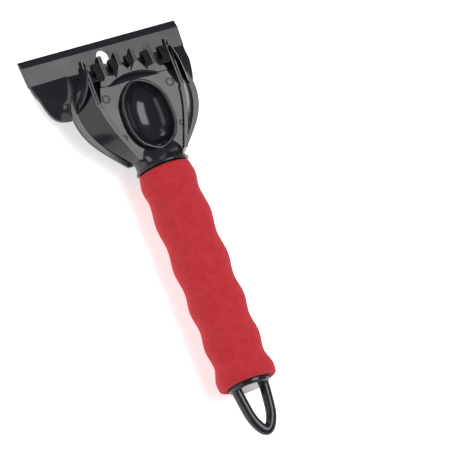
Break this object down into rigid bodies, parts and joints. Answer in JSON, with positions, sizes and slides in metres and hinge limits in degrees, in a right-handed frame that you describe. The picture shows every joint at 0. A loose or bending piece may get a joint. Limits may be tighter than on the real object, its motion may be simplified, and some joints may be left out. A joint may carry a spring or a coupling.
{
  "type": "windshield ice scraper",
  "caption": "Hand ice scraper: flat bevelled blade with a scooped back, a comb of ice-breaking ribs, a thumb dimple, a wavy foam grip and a hang loop.",
  "frame": {"origin": "centre of the bounding box in X and Y, on the plane of the blade's flat underside", "axes": "+X across the blade, +Y from the hang loop to the blade's edge, +Z out of the thumb side"},
  "size_m": [0.1032, 0.252, 0.0388],
  "materials": {
    "black_plastic": "moulded, glossy, near black",
    "red_foam": "matte EVA foam, fine closed cells"
  },
  "bodies": {
    "root": {"scraper_body": "black_plastic", "foam_grip": "red_foam"}
  },
  "joints": []
}
